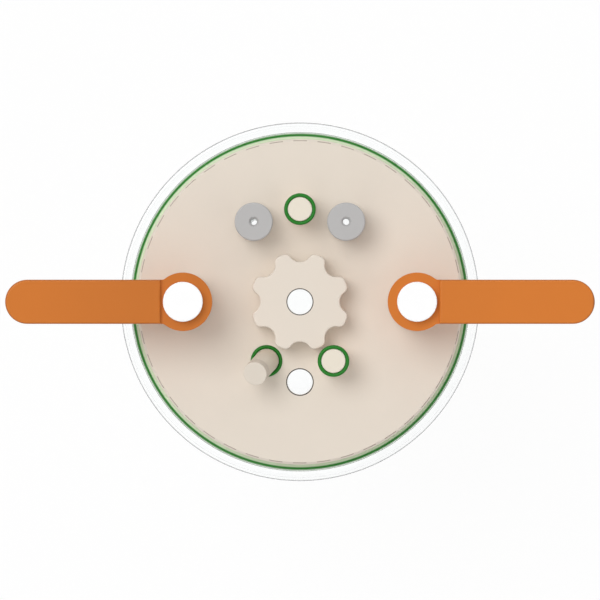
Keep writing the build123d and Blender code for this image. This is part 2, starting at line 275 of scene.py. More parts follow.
def add_object(name, data):
    """Object in the scene, at the origin."""
    item = bpy.data.objects.new(name, data)
    bpy.context.scene.collection.objects.link(item)
    return item


def skin(name, grid, finish, loop=True):
    """Piece whose four-sided faces join each point to the next in its row and to the row above. A loop
    joins its last row to its first. Otherwise the end rows are one point each and close as fans."""
    rows = grid if loop else grid[1:-1]
    here = np.arange(rows.shape[0] * rows.shape[1]).reshape(rows.shape[:2])
    beside = np.roll(here, -1, axis=1)
    faces = np.stack((here, beside, np.roll(beside, -1, axis=0), np.roll(here, -1, axis=0)), axis=-1)
    points = rows.reshape(-1, 3)
    if loop:
        faces = faces.reshape(-1, 4).tolist()
    else:
        faces = faces[:-1].reshape(-1, 4).tolist()
        foot, top = np.full(len(here[0]), len(points)), np.full(len(here[0]), len(points) + 1)
        points = np.vstack((points, grid[0, :1], grid[-1, :1]))
        faces += np.stack((foot, beside[0], here[0]), axis=-1).tolist()
        faces += np.stack((here[-1], beside[-1], top), axis=-1).tolist()
    mesh = bpy.data.meshes.new(name)
    mesh.from_pydata((points * MM).tolist(), [], faces)
    mesh.shade_smooth()
    mesh.materials.append(finish)
    return add_object(name, mesh)


def fit(piece, body, slot, *nodes):
    """Sets a piece on its body in place of the nodes that it stands for."""
    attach(piece, body)
    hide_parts(*nodes)


def seal_ring(name, centre, radius, cord, finish, columns=128):
    """Moulded seal ring: a round cord bent into a circle, with a thin raised flash line where the
    mould's halves met, at the ring's inner and outer waist."""
    turn = column_angles(CORD_STEPS)
    flash = FLASH_SHARE * cord * np.exp(-((np.sin(turn) / FLASH_WIDTH) ** 2))
    cord_r = cord / 2 - FLASH_SHARE * cord + flash
    profile = np.stack((radius + cord_r * np.cos(turn), cord_r * np.sin(turn)), axis=1)
    return skin(name, turned(profile, centre, columns=columns), finish)


# Finishes

SATIN = 0.25
NOISE_LOW, NOISE_HIGH = 0.3, 0.7
CLOUDS = 140
GRAINS = 3200
NOISE_DETAIL = 2
GLOSS_SWING = 0.05
GRAIN_DEPTH = 0.02
GRAIN_STRENGTH = 0.35
WAVE_RINGS = 3.183
TURNING_STRENGTH = 0.3


def new_finish(name, colour, roughness):
    """Material with a Principled shader, and the object's own coordinates to draw on."""
    finish = bpy.data.materials.new(name)
    finish.use_nodes = True
    tree = finish.node_tree
    shader = tree.nodes["Principled BSDF"]
    shader.inputs["Base Color"].default_value = (*colour, 1)
    shader.inputs["Roughness"].default_value = roughness
    shader.inputs["Specular IOR Level"].default_value = SATIN
    place = tree.nodes.new("ShaderNodeTexCoord").outputs["Object"]
    return finish, tree, shader, place


def add_noise(tree, place, scale):
    """Noise of the given number of cells a metre."""
    noise = tree.nodes.new("ShaderNodeTexNoise")
    noise.inputs["Scale"].default_value = scale
    noise.inputs["Detail"].default_value = NOISE_DETAIL
    tree.links.new(place, noise.inputs["Vector"])
    return noise.outputs["Fac"]


def add_range(tree, value, low, high):
    """Noise spread from where most of it lies over low to high."""
    spread = tree.nodes.new("ShaderNodeMapRange")
    spread.inputs["From Min"].default_value = NOISE_LOW
    spread.inputs["From Max"].default_value = NOISE_HIGH
    spread.inputs["To Min"].default_value = low
    spread.inputs["To Max"].default_value = high
    tree.links.new(value, spread.inputs["Value"])
    return spread.outputs["Result"]


def add_tint(tree, factor, first, second):
    """Colour that goes from first to second as the factor goes from 0 to 1."""
    mix = tree.nodes.new("ShaderNodeMix")
    mix.data_type = "RGBA"
    mix.inputs["A"].default_value = (*first, 1)
    mix.inputs["B"].default_value = (*second, 1)
    tree.links.new(factor, mix.inputs["Factor"])
    return mix.outputs["Result"]


def add_bump(tree, shader, height, depth, strength):
    """Bump of that depth in millimetres, on top of any that the shader has."""
    bump = tree.nodes.new("ShaderNodeBump")
    bump.inputs["Strength"].default_value = strength
    bump.inputs["Distance"].default_value = depth * MM
    tree.links.new(height, bump.inputs["Height"])
    if shader.inputs["Normal"].is_linked:
        tree.links.new(shader.inputs["Normal"].links[0].from_socket, bump.inputs["Normal"])
    tree.links.new(bump.outputs["Normal"], shader.inputs["Normal"])


def scaled(colour, factor):
    """The colour made lighter or darker by a factor."""
    return tuple(min(channel * factor, 1) for channel in colour)


def plastic(name, colour, roughness, mottle=0.015):
    """Moulded or machined plastic: a little uneven in colour and gloss, with a fine grain."""
    finish, tree, shader, place = new_finish(name, colour, roughness)
    cloud = add_noise(tree, place, CLOUDS)
    tint = add_tint(tree, cloud, scaled(colour, 1 - mottle), scaled(colour, 1 + mottle))
    tree.links.new(tint, shader.inputs["Base Color"])
    grain = add_noise(tree, place, GRAINS)
    gloss = add_range(tree, grain, roughness - GLOSS_SWING, roughness + GLOSS_SWING)
    tree.links.new(gloss, shader.inputs["Roughness"])
    add_bump(tree, shader, grain, GRAIN_DEPTH, GRAIN_STRENGTH)
    return finish, tree, shader, place


def add_turning(tree, shader, place, pitch, depth):
    """Tool marks of a lathe: rings round the upright axis through the origin, one every pitch
    millimetres. At a scale of 1 the texture draws WAVE_RINGS rings a metre."""
    rings = tree.nodes.new("ShaderNodeTexWave")
    rings.wave_type = "RINGS"
    rings.rings_direction = "Z"
    rings.inputs["Scale"].default_value = 1 / (pitch * MM * WAVE_RINGS)
    rings.inputs["Distortion"].default_value = 0.0
    tree.links.new(place, rings.inputs["Vector"])
    add_bump(tree, shader, rings.outputs["Fac"], depth, TURNING_STRENGTH)


def reckon(tree, operation, *values):
    """Result of one sum on numbers and on other sums' results."""
    step = tree.nodes.new("ShaderNodeMath")
    step.operation = operation
    for socket, value in enumerate(values):
        if isinstance(value, (int, float)):
            step.inputs[socket].default_value = value
        else:
            tree.links.new(value, step.inputs[socket])
    return step.outputs["Value"]


def add_axes(tree, place):
    """The place's three coordinates, each on its own."""
    spot = tree.nodes.new("ShaderNodeSeparateXYZ")
    tree.links.new(place, spot.inputs["Vector"])
    return spot.outputs["X"], spot.outputs["Y"], spot.outputs["Z"]


def add_length(tree, across, ahead):
    """Length of the slope whose two sides are given: the root of the sum of their squares."""
    squares = [reckon(tree, "MULTIPLY", side, side) for side in (across, ahead)]
    return reckon(tree, "SQRT", reckon(tree, "ADD", *squares))


def add_distance(tree, place, centre):
    """Distance in plan from an upright axis through the centre."""
    x, y, _ = add_axes(tree, place)
    across = reckon(tree, "SUBTRACT", x, centre[0] * MM)
    return add_length(tree, across, reckon(tree, "SUBTRACT", y, centre[1] * MM))


def add_between(tree, value, low, high):
    """1 where the value lies between two sizes in millimetres, otherwise 0."""
    return reckon(tree, "COMPARE", value, (low + high) / 2 * MM, (high - low) / 2 * MM)


def add_ramp(tree, value, stops):
    """Share at the value, on straight lines between stops of a size in millimetres and a share."""
    first, last = stops[0][0], stops[-1][0]
    spread = tree.nodes.new("ShaderNodeMapRange")
    spread.inputs["From Min"].default_value = first * MM
    spread.inputs["From Max"].default_value = last * MM
    tree.links.new(value, spread.inputs["Value"])
    ramp = tree.nodes.new("ShaderNodeValToRGB")
    for size, _ in stops[1:-1]:
        ramp.color_ramp.elements.new((size - first) / (last - first))
    for element, (_, share) in zip(ramp.color_ramp.elements, stops):
        element.color = (share, share, share, 1)
    tree.links.new(spread.outputs["Result"], ramp.inputs["Fac"])
    return ramp.outputs["Color"]


def add_mark(tree, shader, share, colour, blend="MIX"):
    """Lays a colour, or a socket that gives one, over what the shader has, by a share from 0 to 1."""
    mix = tree.nodes.new("ShaderNodeMix")
    mix.data_type = "RGBA"
    mix.blend_type = blend
    tree.links.new(shader.inputs["Base Color"].links[0].from_socket, mix.inputs["A"])
    for socket, value in (("Factor", share), ("B", colour)):
        if isinstance(value, tuple):
            mix.inputs[socket].default_value = (*value, 1)
        elif isinstance(value, float):
            mix.inputs[socket].default_value = value
        else:
            tree.links.new(value, mix.inputs[socket])
    tree.links.new(mix.outputs["Result"], shader.inputs["Base Color"])


def blend_shaders(tree, share, first, second):
    """Shader that goes from first to second as the share goes from 0 to 1."""
    mix = tree.nodes.new("ShaderNodeMixShader")
    tree.links.new(share, mix.inputs["Fac"])
    tree.links.new(first, mix.inputs[1])
    tree.links.new(second, mix.inputs[2])
    return mix.outputs["Shader"]


CREAM = (0.755, 0.68, 0.59)
PALE_CREAM = (0.765, 0.69, 0.6)
PLUG_CREAM = (0.8, 0.735, 0.62)
CAP_CREAM = (0.73, 0.66, 0.57)
# Painted shade: the cream made darker for the bridge tube
SHADED_BRIDGE_CREAM = (0.64, 0.575, 0.48)
ORANGE = (0.655, 0.187, 0.022)
WHITE = (0.985, 0.985, 0.985)
GREY = (0.47, 0.462, 0.457)
GREEN = (0.01, 0.17, 0.01)
# Painted highlight on the rim's seal
HIGHLIGHT_GREEN = (0.72, 0.83, 0.6)
WAXY = (0.86, 0.88, 0.87)
SCRIBED = (0.42, 0.35, 0.29)
# Painted shade for the thin dark rings round the bores' edges
BORE_SHADE = (0.07, 0.065, 0.06)
# Painted shade along the arms' top edges and on the right arm's tip
SHADE_ORANGE = (0.3, 0.09, 0.02)

# Lid: turned, with a broken scribed line near its edge, and a thin dark ring of painted shade round the
# free port's edge
DASH_R = 40.55
DASH_HALF_WIDTH = 0.1
DASH_COUNT = 42
DASH_SHARE = 0.56
DASH_START = math.radians(1.8)
TURNING_PITCH = 0.4
TURNING_DEPTH = 0.012
SHADE_GAP = 0.02
PORT_SHADE_W = 0.28
BORE_SHADE_W = 0.24

lid_plastic, lid_tree, lid_shader, lid_place = plastic("turned_cream_plastic", CREAM, 0.5)
add_turning(lid_tree, lid_shader, lid_place, TURNING_PITCH, TURNING_DEPTH)
lid_x, lid_y, _ = add_axes(lid_tree, lid_place)
lid_angle = reckon(lid_tree, "SUBTRACT", reckon(lid_tree, "ARCTAN2", lid_y, lid_x), DASH_START)
dash_step = reckon(lid_tree, "FRACT", reckon(lid_tree, "MULTIPLY", lid_angle, DASH_COUNT / FULL_TURN))
lid_distance = add_distance(lid_tree, lid_place, (0, 0))
on_line = add_between(lid_tree, lid_distance, DASH_R - DASH_HALF_WIDTH, DASH_R + DASH_HALF_WIDTH)
on_dash = reckon(lid_tree, "MULTIPLY", on_line, reckon(lid_tree, "LESS_THAN", dash_step, DASH_SHARE))
add_mark(lid_tree, lid_shader, on_dash, SCRIBED)
# Painted shade: a thin dark ring round the free port's edge
port_distance = add_distance(lid_tree, lid_place, (0, -FREE_PORT_PITCH_R))
port_shade_ring = add_between(lid_tree, port_distance, FREE_PORT_R + SHADE_GAP, FREE_PORT_R + PORT_SHADE_W)
add_mark(lid_tree, lid_shader, port_shade_ring, BORE_SHADE)

# Knob: moulded, with a thin dark ring of painted shade round its bore's edge
knob_plastic, knob_tree, knob_shader, knob_place = plastic("moulded_cream_plastic", PALE_CREAM, 0.45)
bore_distance = add_distance(knob_tree, knob_place, (0, 0))
bore_shade_ring = add_between(knob_tree, bore_distance, ROD_BORE_R + SHADE_GAP, ROD_BORE_R + BORE_SHADE_W)
add_mark(knob_tree, knob_shader, bore_shade_ring, BORE_SHADE)

# Arms: painted shading, darker on the left arm and towards the hubs as the light falls from the left,
# and painted shade on the top edges and the right arm's tip. The stops are a distance from the middle,
# to the right, with the shading's tone there, and at the tip the share of shade.
LEFT_ARM_SHADING = ((-75, 0.925), (-66, 0.92), (-52, 0.875), (-38, 0.835), (-29, 0.82), (-22, 0.8))
RIGHT_ARM_SHADING = ((22, 0.92), (29, 0.915), (38, 0.935), (52, 0.97), (75, 0.965))
TIP_SHADE = ((ARM_END - 0.75, 0), (ARM_END - 0.25, 0.55), (ARM_END, 0.6))
EDGE_SHADE = 0.4
EDGE_SHADE_W = 0.28
arm_plastic, arm_tree, arm_shader, arm_place = plastic("satin_orange_plastic", ORANGE, 0.38)
arm_x, arm_y, arm_z = add_axes(arm_tree, arm_place)
# Painted shading: darker towards the hubs and on the left arm
arm_shading = add_ramp(arm_tree, arm_x, LEFT_ARM_SHADING + RIGHT_ARM_SHADING)
add_mark(arm_tree, arm_shader, 1.0, arm_shading, blend="MULTIPLY")
# Painted shade: a dark line along the arms' top edges, and a darker patch on the right arm's tip
past_end = reckon(arm_tree, "SUBTRACT", reckon(arm_tree, "ABSOLUTE", arm_x), (ARM_END - ARM_W / 2) * MM)
off_middle = add_length(arm_tree, reckon(arm_tree, "MAXIMUM", past_end, 0.0), arm_y)
on_edge = reckon(arm_tree, "GREATER_THAN", off_middle, (ARM_W / 2 - EDGE_SHADE_W) * MM)
on_top = reckon(arm_tree, "GREATER_THAN", arm_z, (ARM_TOP - ARM_EDGE) * MM)
edge_shade = reckon(arm_tree, "MULTIPLY", reckon(arm_tree, "MULTIPLY", on_edge, on_top), EDGE_SHADE)
add_mark(arm_tree, arm_shader, edge_shade, SHADE_ORANGE)
add_mark(arm_tree, arm_shader, add_ramp(arm_tree, arm_x, TIP_SHADE), SHADE_ORANGE)

# Seal rubber, and the rim's seal, which has painted highlights: a pale band on its outer flank by the
# glass, and its top by the lid's edge painted pale. The stops are a rise above the seal's middle, with
# the painted highlight's share there.
GLASS_SIDE_HIGHLIGHT = ((0.15, 0), (0.3, 0.3), (0.55, 0.4), (0.7, 0.12), (0.75, 0))
TOP_HIGHLIGHT = ((1.07, 0), (1.14, 0.3), (1.2, 0.8), (1.3, 0.95))
seal_rubber = plastic("green_seal_rubber", GREEN, 0.45, mottle=0.06)[0]
rim_rubber, rim_tree, rim_shader, rim_place = plastic("seal_rubber_painted_highlights", GREEN, 0.45, mottle=0.06)
_, _, rim_rise = add_axes(rim_tree, rim_place)
highlight_stops = [(RIM_SEAL_Z + rise, share) for rise, share in GLASS_SIDE_HIGHLIGHT + TOP_HIGHLIGHT]
add_mark(rim_tree, rim_shader, add_ramp(rim_tree, rim_rise, highlight_stops), HIGHLIGHT_GREEN)

# Plain plastics, the bridge tube's one a darker copy of the cream as painted shade, and the waxy one of
# the tubes, which lets some light through
plug_plastic = plastic("plug_cream_plastic", PLUG_CREAM, 0.45)[0]
bridge_plastic = plastic("bridge_cream_plastic_painted_shade", SHADED_BRIDGE_CREAM, 0.5)[0]
screw_plastic = plastic("white_plastic", WHITE, 0.4)[0]
nut_plastic = plastic("grey_plastic", GREY, 0.4)[0]
washer_plastic = plastic("waxy_washer_plastic", WHITE, 0.35)[0]
tube_plastic, _, tube_shader, _ = plastic("waxy_tube_plastic", WAXY, 0.35)
tube_shader.inputs["Transmission Weight"].default_value = 0.6

GLASS_TINT = (0.985, 0.995, 0.995)
GLASS_EDGE_TINT = (0.3, 0.33, 0.33)
GLASS_EDGE_BLEND = 0.12
GLASS_IOR = 1.06
GLASS_COAT = 0.6
OUTER_WALL = 43.75
TRAPPED_AFTER = 3


def clear_glass(name, tint, edge_tint):
    """Clear glass that lets the lamps and the light from dull surfaces straight through. It bends light
    little, because the wall is seen along its whole height. Its outer face darkens where it is seen
    edge on. Light that has bounced along inside the wall too often to be followed leaves it."""
    finish, tree, shader, place = new_finish(name, tint, 0.0)
    shader.inputs["Transmission Weight"].default_value = 1.0
    shader.inputs["IOR"].default_value = GLASS_IOR
    shader.inputs["Coat Weight"].default_value = GLASS_COAT
    edge = tree.nodes.new("ShaderNodeLayerWeight")
    edge.inputs["Blend"].default_value = GLASS_EDGE_BLEND
    outside = reckon(tree, "GREATER_THAN", add_distance(tree, place, (0, 0)), OUTER_WALL * MM)
    hit_inside = tree.nodes.new("ShaderNodeNewGeometry").outputs["Backfacing"]
    from_outside = reckon(tree, "SUBTRACT", outside, hit_inside)
    depth = reckon(tree, "MULTIPLY", edge.outputs["Facing"], reckon(tree, "MAXIMUM", from_outside, 0.0))
    tree.links.new(add_tint(tree, depth, tint, edge_tint), shader.inputs["Base Color"])
    path = tree.nodes.new("ShaderNodeLightPath")
    clear = tree.nodes.new("ShaderNodeBsdfTransparent")
    soft = reckon(tree, "MAXIMUM", path.outputs["Is Shadow Ray"], path.outputs["Is Diffuse Ray"])
    trapped = reckon(tree, "GREATER_THAN", path.outputs["Ray Depth"], TRAPPED_AFTER)
    through = reckon(tree, "MAXIMUM", soft, trapped)
    surface = blend_shaders(tree, through, shader.outputs["BSDF"], clear.outputs["BSDF"])
    tree.links.new(surface, tree.nodes["Material Output"].inputs["Surface"])
    return finish


vessel_glass = clear_glass("clear_glass", GLASS_TINT, GLASS_EDGE_TINT)

# Glass vessel: a thin-walled beaker with a shallow dished foot and a fire-polished rim
vessel_profile = rounded(
    [
        (0, DISH_MIDDLE_Z, 0),
        (DISH_R, DISH_EDGE_Z, DISH_CUT),
        (FOOT_RING_R, 0, FOOT_RING_CUT),
        (VESSEL_R, 0, HEEL_CUT),
        (VESSEL_R, VESSEL_H, RIM_OUTER_CUT),
        (WELL_R, VESSEL_H, RIM_INNER_CUT),
        (WELL_R, WELL_FLOOR, WELL_CUT),
        (0, WELL_FLOOR, 0),
    ],
    loop=False,
    steps=VESSEL_STEPS,
)
vessel = skin("beaker_glass", turned(vessel_profile, columns=VESSEL_COLUMNS), vessel_glass, loop=False)
fit(vessel, "vessel", "vessel_glass", "glass_vessel")

# Lid and arms keep their solids
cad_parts["lid"].material_slots[0].material = lid_plastic
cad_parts["arm_left"].material_slots[0].material = arm_plastic
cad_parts["arm_right"].material_slots[0].material = arm_plastic

# Seal rings
rim_seal = seal_ring("rim_seal", (0, 0, RIM_SEAL_Z), RIM_SEAL_R, RIM_CORD, rim_rubber, RIM_COLUMNS)
fit(rim_seal, "lid_set", "seal_rubber", "lid_oring")
rod_seal_r = ROD_BORE_R + ROD_CORD / 2
rod_seal = seal_ring("rod_seal", (0, 0, ROD_SEAL_Z), rod_seal_r, ROD_CORD, seal_rubber)
fit(rod_seal, "lid_set", "seal_rubber", "rod_oring")
port_seal_z = NECK_TOP + PORT_CORD / 2
for name, place, height, body, node in (
    ("back_port_seal", PORT_BACK, port_seal_z, "lid_set", "port_oring_back"),
    ("front_port_seal", PORT_FRONT, port_seal_z, "lid_set", "port_oring_front"),
    ("bridge_seal", BRIDGE, BRIDGE_SEAL_Z, "bridge_ring", "bridge_oring"),
):
    port_seal = seal_ring(name, (*place, height), PORT_SEAL_R, PORT_CORD, seal_rubber)
    fit(port_seal, body, "seal_rubber", node)

# Star knob: where its scallops' and lobes' circles lie, and where they touch, as seen from the axis
scallop_at = KNOB_VALLEY_R + SCALLOP_R
shoulder_at = KNOB_TIP_R - LOBE_ROUND
shoulder_turn = math.acos(
    (shoulder_at**2 + scallop_at**2 - (SCALLOP_R + LOBE_ROUND) ** 2) / (2 * shoulder_at * scallop_at)
)
shoulder_x, shoulder_y = shoulder_at * math.cos(shoulder_turn), shoulder_at * math.sin(shoulder_turn)
touch_share = SCALLOP_R / (SCALLOP_R + LOBE_ROUND)
touch_turn = math.atan2(shoulder_y * touch_share, scallop_at + (shoulder_x - scallop_at) * touch_share)


def star_outline(angle):
    """Distance from the axis to the knob's outline. From a valley's middle it follows the scallop's
    circle, then the lobe's rounded shoulder, then the circle that all the tips lie on."""
    half_step = math.pi / KNOB_LOBES
    turn = np.abs((angle + half_step) % (2 * half_step) - half_step)
    scallop_room = np.maximum(SCALLOP_R**2 - (scallop_at * np.sin(turn)) ** 2, 0)
    scallop = scallop_at * np.cos(turn) - np.sqrt(scallop_room)
    off_shoulder = turn - shoulder_turn
    shoulder_room = np.maximum(LOBE_ROUND**2 - (shoulder_at * np.sin(off_shoulder)) ** 2, 0)
    shoulder = shoulder_at * np.cos(off_shoulder) + np.sqrt(shoulder_room)
    return np.where(turn < touch_turn, scallop, np.where(turn < shoulder_turn, shoulder, KNOB_TIP_R))


knob_profile = with_rows(
    rounded(
        [
            (ROD_BORE_R + BORE_SINK, KNOB_TOP, BORE_CUT),
            (ROD_BORE_R, KNOB_TOP - BORE_SINK, BORE_CUT),
            (ROD_BORE_R, SHANK_TIP, SOFT),
            (SHANK_R - SHANK_EDGE, SHANK_TIP, SOFT),
            (SHANK_R, SHANK_TIP + SHANK_EDGE, SOFT),
            (SHANK_R, KNOB_FOOT, CRISP),
            (KNOB_TIP_R - KNOB_EDGE, KNOB_FOOT, SOFT),
            (KNOB_TIP_R, KNOB_FOOT + KNOB_EDGE, SOFT),
            (KNOB_TIP_R, KNOB_TOP, KNOB_EDGE),
        ]
    ),
    KNOB_PITCH / 8,
)
knob_thread_foot = SHANK_TIP + SHANK_EDGE
knob_reach = threaded(
    knob_profile, SHANK_R, knob_thread_foot, KNOB_THREAD_TOP, KNOB_PITCH, KNOB_THREAD, KNOB_COLUMNS
)
lobe_share = np.clip((knob_profile[:, :1] - SHANK_R) / (KNOB_TIP_R - KNOB_EDGE - SHANK_R), 0, 1)
knob_reach = knob_reach - lobe_share * (KNOB_TIP_R - star_outline(column_angles(KNOB_COLUMNS)))
knob = skin("star_grip", turned(knob_profile, columns=KNOB_COLUMNS, reach=knob_reach), knob_plastic)
fit(knob, "knob", "knob_plastic", "star_knob")

clamp_ring_profile = rounded(
    [
        (ROD_BORE_R, RING_TOP, SOFT),
        (ROD_BORE_R, RING_FOOT, SOFT),
        (RING_R, RING_FOOT, SOFT),
        (RING_R, RING_TOP, SOFT),
    ]
)
clamp_ring = skin("clamp_ring", turned(clamp_ring_profile), washer_plastic)
fit(clamp_ring, "knob_ring", "washer_plastic", "pressure_ring")

# Gas fittings
nut_profile = with_rows(
    rounded(
        [
            (NUT_SINK_R, NUT_TOP, CRISP),
            (NUT_BORE_R, NUT_TOP - NUT_SINK_DEPTH, CRISP),
            (NUT_BORE_R, NUT_SHANK_TIP, SOFT),
            (NUT_SHANK_R - NUT_SHANK_EDGE, NUT_SHANK_TIP, SOFT),
            (NUT_SHANK_R, NUT_SHANK_TIP + NUT_SHANK_EDGE, SOFT),
            (NUT_SHANK_R, NUT_FOOT, SOFT),
            (NUT_R - NUT_EDGE, NUT_FOOT, CRISP),
            (NUT_R, NUT_FOOT + NUT_EDGE, CRISP),
            (NUT_R, NUT_TOP - NUT_EDGE, CRISP),
            (NUT_R - NUT_EDGE, NUT_TOP, CRISP),
        ]
    ),
    NUT_PITCH / 8,
)
nut_thread_foot = NUT_SHANK_TIP + NUT_SHANK_EDGE
nut_reach = threaded(
    nut_profile, NUT_SHANK_R, nut_thread_foot, NUT_THREAD_TOP, NUT_PITCH, NUT_THREAD, NUT_COLUMNS
)
ferrule_profile = rounded(
    [
        (TUBE_R + SLIP, FERRULE_TOP, SOFT),
        (TUBE_R + SLIP, FERRULE_FOOT, SOFT),
        (FERRULE_FOOT_R, FERRULE_FOOT, SOFT),
        (FERRULE_TOP_R, FERRULE_TOP, SOFT),
    ]
)
for side, centre, way in (("left", GAS_LEFT, "in"), ("right", GAS_RIGHT, "out")):
    nut_grid = turned(nut_profile, (*centre, 0), columns=NUT_COLUMNS, reach=nut_reach)
    nut = skin(f"pinhole_nut_{side}", nut_grid, nut_plastic)
    fit(nut, f"gas_{way}_nut", "nut_plastic", f"gas_nut_{side}")
    cone_grid = turned(ferrule_profile, (*centre, 0), columns=FERRULE_COLUMNS)
    cone = skin(f"cone_ferrule_{side}", cone_grid, washer_plastic)
    fit(cone, f"gas_{way}_tube", "washer_plastic", f"ferrule_{side}")


def tube_wall(end):
    """Profile of a tube's wall from the ferrule down to its end."""
    return rounded(
        [
            (NUT_BORE_R, FERRULE_TOP, SOFT),
            (NUT_BORE_R, end, SOFT),
            (TUBE_R, end, SOFT),
            (TUBE_R, FERRULE_TOP, SOFT),
        ]
    )


# The dip tube bends aside below DIP_TUBE_BEND, by the square of the way down to its end
dip_profile = with_rows(tube_wall(DIP_TUBE_END), TUBE_ROW_GAP)
dip_grid = turned(dip_profile, (*GAS_LEFT, 0), columns=TUBE_COLUMNS)
bend = np.clip((DIP_TUBE_BEND - dip_grid[:, :, 2]) / (DIP_TUBE_BEND - DIP_TUBE_END), 0, 1) ** 2
dip_grid[:, :, 0] += DIP_TUBE_SHIFT * bend
dip_grid[:, :, 1] -= DIP_TUBE_SHIFT * bend
fit(skin("gas_dip_tube", dip_grid, tube_plastic), "gas_in_tube", "tube_plastic", "dip_tube")
vent_grid = turned(tube_wall(VENT_TUBE_END), (*GAS_RIGHT, 0), columns=TUBE_COLUMNS)
fit(skin("gas_vent_tube", vent_grid, tube_plastic), "gas_out_tube", "tube_plastic", "vent_tube")

# Plugged ports
neck_profile = rounded(
    [
        (NECK_BORE_R, NECK_TOP, CRISP),
        (NECK_BORE_R, NECK_FOOT, SOFT),
        (NECK_R, NECK_FOOT, SOFT),
        (NECK_R, NECK_TOP, SOFT),
    ]
)
plug_profile = rounded(
    [
        (0, PLUG_TAIL, 0),
        (PLUG_R - PLUG_TAIL_EDGE, PLUG_TAIL, SOFT),
        (PLUG_R, PLUG_TAIL + PLUG_TAIL_EDGE, SOFT),
        (PLUG_R, PLUG_TOP, PLUG_EDGE),
        (0, PLUG_TOP, 0),
    ],
    loop=False,
)
for port, centre in (("back", PORT_BACK), ("front", PORT_FRONT)):
    neck_grid = turned(neck_profile, (*centre, 0), columns=PORT_COLUMNS)
    fit(skin(f"{port}_port_neck", neck_grid, lid_plastic), "lid_set", "lid_plastic", f"port_neck_{port}")
    plug_grid = turned(plug_profile, (*centre, 0), columns=PORT_COLUMNS)
    plug = skin(f"{port}_port_plug", plug_grid, plug_plastic, loop=False)
    fit(plug, f"plug_{port}", "knob_plastic", f"port_plug_{port}")

# Bridge tube
lean_flat = np.array((math.cos(BRIDGE_TOWARDS), math.sin(BRIDGE_TOWARDS), 0))
lean_axis = lean_flat * math.sin(BRIDGE_LEAN) + np.array(UP) * math.cos(BRIDGE_LEAN)
elbow = np.array((*BRIDGE, BRIDGE_ELBOW))


def mitred_wall(rows):
    """Grid of a pipe that runs straight up to its elbow and then leans. rows are height below the elbow
    (negative) or distance past it, and radius. A row's circle shifts along the pipe by the radius
    times the half lean's tangent at the elbow, and by less the further it is, so that both runs meet
    in the mitre's plane."""
    along, radius = np.array(rows, float).T[:, :, None]
    angle = column_angles(PORT_COLUMNS)[None, :]
    side = np.cross(lean_flat, UP)
    upright = along <= 0
    run = np.where(upright, BRIDGE_ELBOW - BRIDGE_FOOT, BRIDGE_ARM)
    inwards = radius * np.sin(angle) * math.tan(BRIDGE_LEAN / 2)
    along = along + np.where(upright, -inwards, inwards) * (1 - np.abs(along) / run)
    axis = np.where(upright[:, :, None], UP, lean_axis)
    ahead = np.where(upright[:, :, None], lean_flat, np.cross(lean_axis, side))
    across = radius * np.cos(angle)
    towards = radius * np.sin(angle)
    return elbow + across[:, :, None] * side + towards[:, :, None] * ahead + along[:, :, None] * axis


drop = BRIDGE_FOOT - BRIDGE_ELBOW
bridge_grid = mitred_wall(
    [
        (BRIDGE_ARM, BRIDGE_BORE_R + SOFT),
        (BRIDGE_ARM - SOFT, BRIDGE_BORE_R),
        (CRISP, BRIDGE_BORE_R),
        (0, BRIDGE_BORE_R),
        (-CRISP, BRIDGE_BORE_R),
        (drop + SOFT, BRIDGE_BORE_R),
        (drop, BRIDGE_BORE_R + SOFT),
        (drop, BRIDGE_R - SOFT),
        (drop + SOFT, BRIDGE_R),
        (-CRISP, BRIDGE_R),
        (0, BRIDGE_R),
        (CRISP, BRIDGE_R),
        (BRIDGE_ARM - SOFT, BRIDGE_R),
        (BRIDGE_ARM, BRIDGE_R - SOFT),
    ]
)
fit(skin("leaning_bridge_tube", bridge_grid, bridge_plastic), "bridge", "lid_plastic", "bridge_tube")

cap_profile = rounded(
    [
        (0, -SPIGOT_L, 0),
        (SPIGOT_R, -SPIGOT_L, CAP_EDGE),
        (SPIGOT_R, CAP_GAP, CRISP),
        (BRIDGE_R, CAP_GAP, CRISP),
        (BRIDGE_R, CAP_GAP + CAP_H, CAP_EDGE),
        (0, CAP_GAP + CAP_H, 0),
    ],
    loop=False,
)
mouth = elbow + lean_axis * BRIDGE_ARM

# The cap's wall is a little darker than its end: painted shade below the end's edge. The stops are a
# depth below the end, along the lean, with the tone there.
CAP_WALL_SHADE = ((CAP_H, 0.84), (0.25, 0.87), (0.1, 1))
cap_plastic, cap_tree, cap_shader, cap_place = plastic("capped_cream_plastic", CAP_CREAM, 0.5)
up_the_lean = cap_tree.nodes.new("ShaderNodeVectorMath")
up_the_lean.operation = "DOT_PRODUCT"
up_the_lean.inputs[1].default_value = lean_axis
cap_tree.links.new(cap_place, up_the_lean.inputs[0])
end_rise = float(mouth @ lean_axis) + CAP_GAP + CAP_H
shade_stops = [(end_rise - depth, tone) for depth, tone in CAP_WALL_SHADE]
cap_wall_shade = add_ramp(cap_tree, up_the_lean.outputs["Value"], shade_stops)
add_mark(cap_tree, cap_shader, 1.0, cap_wall_shade, blend="MULTIPLY")
cap_grid = turned(cap_profile, mouth, lean_axis, columns=PORT_COLUMNS)
cap = skin("bridge_end_cap", cap_grid, cap_plastic, loop=False)
fit(cap, "bridge_stopper", "lid_plastic", "bridge_cap")

tip_profile = rounded(
    [
        (BRIDGE_R + SLIP, TIP_SEAT, SOFT),
        (BRIDGE_BORE_R, TIP_SEAT, SOFT),
        (TIP_MOUTH_R, TIP_END, SOFT),
        (TIP_END_R, TIP_END, SOFT),
        (TIP_R, TIP_TAPER_TOP, SOFT),
        (TIP_R, TIP_TOP, SOFT),
        (BRIDGE_R + SLIP, TIP_TOP, SOFT),
    ]
)
tip_grid = turned(tip_profile, (*BRIDGE, 0), columns=TIP_COLUMNS)
fit(skin("drawn_tip", tip_grid, tube_plastic), "bridge", "tube_plastic", "bridge_tip")

